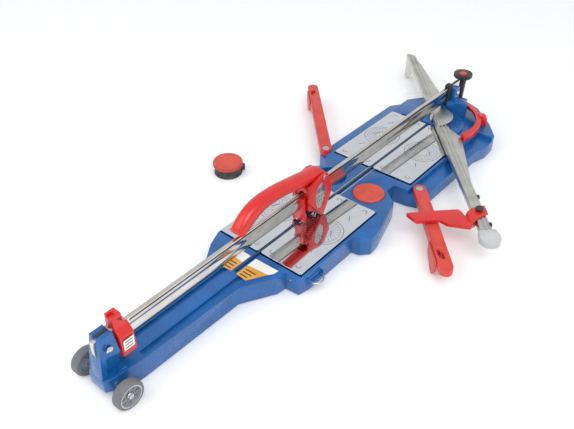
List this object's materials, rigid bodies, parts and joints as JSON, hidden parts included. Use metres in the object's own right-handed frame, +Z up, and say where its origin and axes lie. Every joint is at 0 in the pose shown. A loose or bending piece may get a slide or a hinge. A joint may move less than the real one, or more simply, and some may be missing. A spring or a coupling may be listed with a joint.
{
  "type": "tile cutter",
  "caption": "Long manual tile cutter: sprung split table, high guide rail with scoring carriage and lever, swinging fence with stop, side support arms, front wheels.",
  "frame": {"origin": "centre of the standing pad under the waist of the base, on the floor and under the cutting line", "axes": "+X along the cutting line towards the fence, +Y to the far side, +Z up"},
  "size_m": [1.795, 0.9625, 0.2374],
  "materials": {
    "blue_enamel": "glossy enamel",
    "dark_blue_enamel": "glossy enamel",
    "red_enamel": "glossy enamel",
    "red_grip": "glossy moulded",
    "arm_red": "satin paint",
    "red_lid": "moulded",
    "polished_plate": "mirror polished",
    "rail_steel": "ground and chromed",
    "steel": "turned and plated",
    "aluminium": "extruded, satin anodised",
    "grey_rubber": "grey rubber",
    "grey_rim": "moulded",
    "black_plastic": "moulded",
    "black_rubber": "moulded rubber",
    "clear_grey": "frosted moulded"
  },
  "bodies": {
    "root": {"base_casting": "blue_enamel", "breaking_ridge": "dark_blue_enamel", "plate_rod_near": "steel", "plate_rod_far": "steel", "plate_spring_front_near": "steel", "plate_spring_front_far": "steel", "plate_spring_rear_near": "steel", "plate_spring_rear_far": "steel", "rubber_foot_1": "black_rubber", "rubber_foot_2": "black_rubber", "rubber_foot_3": "black_rubber", "rubber_foot_4": "black_rubber", "front_axle": "steel", "guide_rail": "rail_steel", "front_tower": "blue_enamel", "front_tower_bolt": "steel", "front_stop_block": "red_enamel", "rear_tower": "blue_enamel", "rear_tower_bolt": "steel", "rear_bumper": "black_rubber", "fence_pivot_bolt": "steel", "arm_bolt_near": "steel", "arm_bolt_far": "steel", "ring_clamp": "red_enamel"},
    "wire_loop": {"wire_loop": "steel"},
    "wheel_near": {"wheel_tyre_near": "grey_rubber", "wheel_rim_near": "grey_rim"},
    "wheel_far": {"wheel_tyre_far": "grey_rubber", "wheel_rim_far": "grey_rim"},
    "clamp": {"clamp_screw": "black_plastic", "clamp_knob": "black_plastic", "knob_cap": "red_lid"},
    "carriage": {"carriage_body": "red_enamel", "carriage_spring_cover_near": "steel", "carriage_spring_cover_far": "steel", "breaking_foot": "red_enamel", "score_wheel_holder": "steel", "handle_pin": "steel"},
    "top_roller_front": {"top_roller_front": "steel"},
    "top_roller_rear": {"top_roller_rear": "steel"},
    "score_wheel": {"score_wheel": "steel"},
    "handle": {"handle": "red_grip"},
    "fence": {"fence_bar": "aluminium", "fence_plate": "aluminium", "fence_end_tip": "clear_grey", "angle_ring": "red_enamel"},
    "stop": {"tile_stop": "red_enamel", "stop_knob": "black_plastic"},
    "seated_box": {"seated_box_body": "black_plastic"},
    "seated_lid": {"seated_box_lid": "red_lid"},
    "loose_box": {"loose_box_body": "black_plastic"},
    "loose_lid": {"loose_box_lid": "red_lid"},
    "plate_front_near": {"table_plate_front_near": "polished_plate"},
    "plate_front_far": {"table_plate_front_far": "polished_plate"},
    "plate_rear_near": {"table_plate_rear_near": "polished_plate"},
    "plate_rear_far": {"table_plate_rear_far": "polished_plate"},
    "arm_near": {"arm_near": "arm_red"},
    "arm_foot_near": {"arm_foot_near": "arm_red"},
    "arm_far": {"arm_far": "arm_red"},
    "arm_foot_far": {"arm_foot_far": "arm_red"}
  },
  "joints": [
    {"name": "carriage_slide", "type": "slide", "parent": "root", "child": "carriage", "axis": [1, 0, 0], "range_m": [-0.33, 0.57]},
    {"name": "handle_lift", "type": "hinge", "parent": "carriage", "child": "handle", "pos_m": [-0.195, 0, 0.192], "axis": [0, 1, 0], "range_deg": [0, 60]},
    {"name": "score_wheel_spin", "type": "hinge", "parent": "carriage", "child": "score_wheel", "pos_m": [-0.185, 0, 0.0749], "axis": [0, 1, 0], "continuous": true},
    {"name": "top_roller_front_spin", "type": "hinge", "parent": "carriage", "child": "top_roller_front", "pos_m": [-0.226, 0, 0.1688], "axis": [0, 1, 0], "continuous": true},
    {"name": "top_roller_rear_spin", "type": "hinge", "parent": "carriage", "child": "top_roller_rear", "pos_m": [-0.168, 0, 0.1688], "axis": [0, 1, 0], "continuous": true},
    {"name": "wheel_near_spin", "type": "hinge", "parent": "root", "child": "wheel_near", "pos_m": [-0.93, -0.07175, 0.036], "axis": [0, 1, 0], "continuous": true},
    {"name": "wheel_far_spin", "type": "hinge", "parent": "root", "child": "wheel_far", "pos_m": [-0.93, 0.07175, 0.036], "axis": [0, 1, 0], "continuous": true},
    {"name": "plate_front_near_tilt", "type": "hinge", "parent": "root", "child": "plate_front_near", "pos_m": [-0.26, -0.0085, 0.0587], "axis": [1, 0, 0], "range_deg": [0, 3], "stiffness_Nm_per_rad": 120, "springref_deg": -1.15, "deforming": ["plate_spring_front_near"]},
    {"name": "plate_front_far_tilt", "type": "hinge", "parent": "root", "child": "plate_front_far", "pos_m": [-0.26, 0.0085, 0.0587], "axis": [-1, 0, 0], "range_deg": [0, 3], "stiffness_Nm_per_rad": 120, "springref_deg": -1.15, "deforming": ["plate_spring_front_far"]},
    {"name": "plate_rear_near_tilt", "type": "hinge", "parent": "root", "child": "plate_rear_near", "pos_m": [0.26, -0.0085, 0.0587], "axis": [1, 0, 0], "range_deg": [0, 3], "stiffness_Nm_per_rad": 120, "springref_deg": -1.15, "deforming": ["plate_spring_rear_near"]},
    {"name": "plate_rear_far_tilt", "type": "hinge", "parent": "root", "child": "plate_rear_far", "pos_m": [0.26, 0.0085, 0.0587], "axis": [-1, 0, 0], "range_deg": [0, 3], "stiffness_Nm_per_rad": 120, "springref_deg": -1.15, "deforming": ["plate_spring_rear_far"]},
    {"name": "wire_loop_swing", "type": "hinge", "parent": "root", "child": "wire_loop", "pos_m": [-0.385, -0.154, 0.033], "axis": [-1, 0, 0], "range_deg": [0, 80]},
    {"name": "fence_swing", "type": "hinge", "parent": "root", "child": "fence", "pos_m": [0.45, 0, 0], "axis": [0, 0, 1], "range_deg": [0, 48]},
    {"name": "stop_slide", "type": "slide", "parent": "fence", "child": "stop", "axis": [0.7431, 0.6691, 0], "range_m": [-0.01, 0.33]},
    {"name": "clamp_turn", "type": "hinge", "parent": "root", "child": "clamp", "pos_m": [0.645, 0, 0.1], "axis": [0, 0, 1], "range_deg": [-360, 360]},
    {"name": "arm_near_swing", "type": "hinge", "parent": "root", "child": "arm_near", "pos_m": [0.088, -0.174, 0.055], "axis": [0, 0, 1], "range_deg": [-24, 30]},
    {"name": "arm_foot_near_fold", "type": "hinge", "parent": "arm_near", "child": "arm_foot_near", "pos_m": [-0.10106, -0.32088, 0.06], "axis": [0.7391, 0.6736, 0], "range_deg": [0, 90]},
    {"name": "arm_far_swing", "type": "hinge", "parent": "root", "child": "arm_far", "pos_m": [0.088, 0.1735, 0.055], "axis": [0, 0, 1], "range_deg": [-43.8, 46]},
    {"name": "arm_foot_far_fold", "type": "hinge", "parent": "arm_far", "child": "arm_foot_far", "pos_m": [0.30621, 0.40888, 0.06], "axis": [0.7216, 0.6923, 0], "range_deg": [0, 90]},
    {"name": "seated_box_lift", "type": "slide", "parent": "root", "child": "seated_box", "axis": [0, 0, 1], "range_m": [0, 0.06]},
    {"name": "seated_lid_turn", "type": "hinge", "parent": "seated_box", "child": "seated_lid", "pos_m": [-0.024, -0.0695, 0.06], "axis": [0, 0, 1], "range_deg": [0, 120]},
    {"name": "loose_box_lift", "type": "slide", "parent": "root", "child": "loose_box", "axis": [0, 0, 1], "range_m": [0, 0.08]},
    {"name": "loose_lid_turn", "type": "hinge", "parent": "loose_box", "child": "loose_lid", "pos_m": [-0.146, 0.387, 0.03], "axis": [0, 0, 1], "range_deg": [0, 120]}
  ],
  "couplings": [
    {"joint": "top_roller_front_spin", "follows": "carriage_slide", "rad_per_m": 117.65},
    {"joint": "top_roller_rear_spin", "follows": "carriage_slide", "rad_per_m": 117.65}
  ]
}
